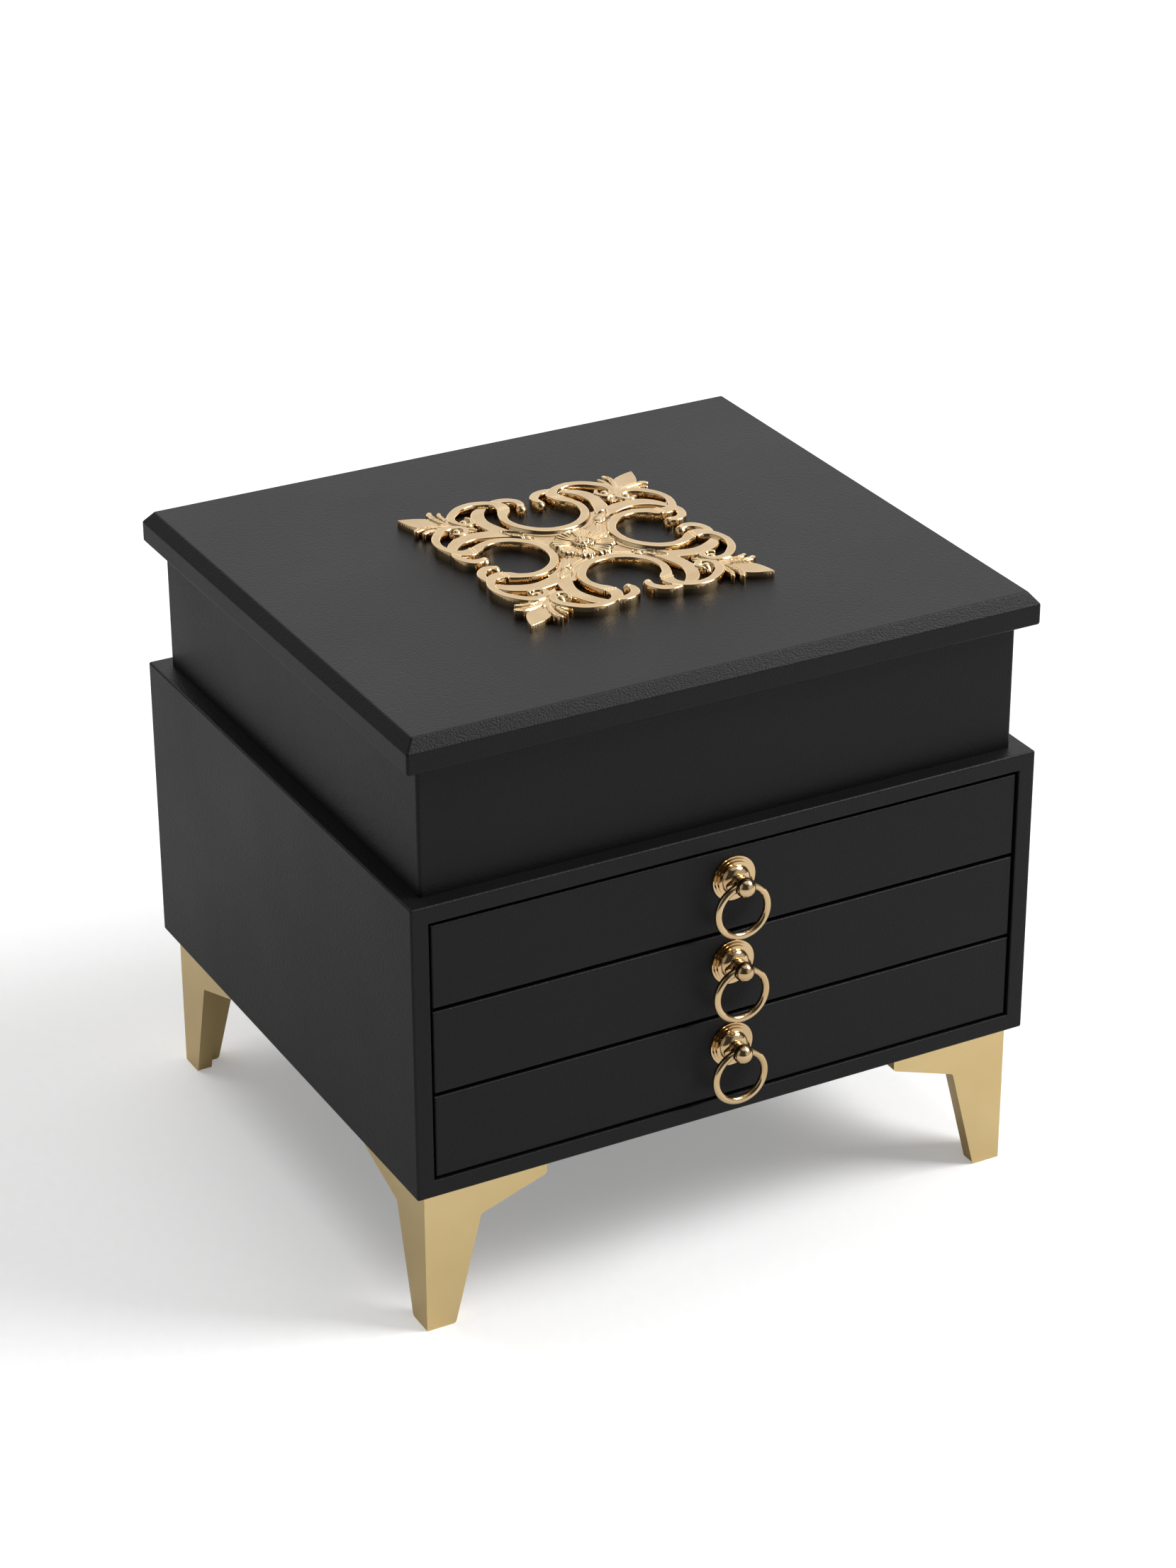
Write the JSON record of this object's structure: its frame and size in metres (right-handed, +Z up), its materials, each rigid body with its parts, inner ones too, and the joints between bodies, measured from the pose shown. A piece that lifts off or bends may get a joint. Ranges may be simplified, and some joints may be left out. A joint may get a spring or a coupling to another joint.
{
  "type": "prayer bead storage box",
  "caption": "Lidded box on legs, with a lined upper compartment under a bevelled lid and divided drawers with ring pulls below, for storing strings of prayer beads.",
  "frame": {"origin": "on the floor, under the middle of the bounding box, pulls included", "axes": "+Z up, +X along the width to the right as seen from the front, -Y out of the front, which has the drawers"},
  "size_m": [0.3, 0.2818, 0.2877],
  "materials": {
    "leatherette": "fine-grained black leatherette, semi-matt",
    "covered_board": "thin board covered in matt black paper",
    "velvet": "short-pile black velvet",
    "polished_gold": "cast and polished, gold plated",
    "satin_gold": "satin champagne gold",
    "hinge_brass": "rolled and tumbled",
    "zinc_steel": "zinc plated"
  },
  "bodies": {
    "cabinet": {"cabinet_left_side": "leatherette", "cabinet_right_side": "leatherette", "cabinet_top_board": "leatherette", "cabinet_bottom_board": "leatherette", "cabinet_back_board": "leatherette", "neck_front": "leatherette", "neck_back": "leatherette", "neck_left": "leatherette", "neck_right": "leatherette", "drawer_shelf_1": "covered_board", "drawer_shelf_2": "covered_board", "compartment_linings": "velvet", "compartment_floor": "velvet", "leg_front_left": "satin_gold", "leg_front_right": "satin_gold", "leg_back_left": "satin_gold", "leg_back_right": "satin_gold", "leg_screws": "zinc_steel", "hinge_left_body_leaf": "hinge_brass", "hinge_left_pin": "hinge_brass", "hinge_right_body_leaf": "hinge_brass", "hinge_right_pin": "hinge_brass", "hinge_body_screws": "hinge_brass"},
    "lid": {"hinge_left_lid_leaf": "hinge_brass", "hinge_right_lid_leaf": "hinge_brass", "hinge_lid_screws": "hinge_brass", "lid_board": "leatherette", "lid_ornament": "polished_gold", "lid_velvet_pad": "velvet"},
    "drawer_1": {"drawer_1_front": "leatherette", "drawer_1_left_side": "covered_board", "drawer_1_right_side": "covered_board", "drawer_1_back": "covered_board", "drawer_1_bottom": "covered_board", "drawer_1_velvet_floor": "velvet", "drawer_1_dividers": "velvet", "drawer_1_pull": "polished_gold", "drawer_1_pull_screw": "zinc_steel"},
    "ring_1": {"drawer_1_ring": "polished_gold"},
    "drawer_2": {"drawer_2_front": "leatherette", "drawer_2_left_side": "covered_board", "drawer_2_right_side": "covered_board", "drawer_2_back": "covered_board", "drawer_2_bottom": "covered_board", "drawer_2_velvet_floor": "velvet", "drawer_2_dividers": "velvet", "drawer_2_pull": "polished_gold", "drawer_2_pull_screw": "zinc_steel"},
    "ring_2": {"drawer_2_ring": "polished_gold"},
    "drawer_3": {"drawer_3_front": "leatherette", "drawer_3_left_side": "covered_board", "drawer_3_right_side": "covered_board", "drawer_3_back": "covered_board", "drawer_3_bottom": "covered_board", "drawer_3_velvet_floor": "velvet", "drawer_3_dividers": "velvet", "drawer_3_pull": "polished_gold", "drawer_3_pull_screw": "zinc_steel"},
    "ring_3": {"drawer_3_ring": "polished_gold"}
  },
  "joints": [
    {"name": "lid_hinge", "type": "hinge", "parent": "cabinet", "child": "lid", "pos_m": [0, 0.1355, 0.2665], "axis": [-1, 0, 0], "range_deg": [0, 120]},
    {"name": "drawer_1_slide", "type": "slide", "parent": "cabinet", "child": "drawer_1", "axis": [0, -1, 0], "range_m": [0, 0.19]},
    {"name": "ring_1_swing", "type": "hinge", "parent": "drawer_1", "child": "ring_1", "pos_m": [0, -0.1346, 0.18343], "axis": [-1, 0, 0], "range_deg": [-13, 160]},
    {"name": "drawer_2_slide", "type": "slide", "parent": "cabinet", "child": "drawer_2", "axis": [0, -1, 0], "range_m": [0, 0.19]},
    {"name": "ring_2_swing", "type": "hinge", "parent": "drawer_2", "child": "ring_2", "pos_m": [0, -0.1346, 0.1433], "axis": [-1, 0, 0], "range_deg": [-13, 160]},
    {"name": "drawer_3_slide", "type": "slide", "parent": "cabinet", "child": "drawer_3", "axis": [0, -1, 0], "range_m": [0, 0.19]},
    {"name": "ring_3_swing", "type": "hinge", "parent": "drawer_3", "child": "ring_3", "pos_m": [0, -0.1346, 0.10317], "axis": [-1, 0, 0], "range_deg": [-13, 160]}
  ]
}
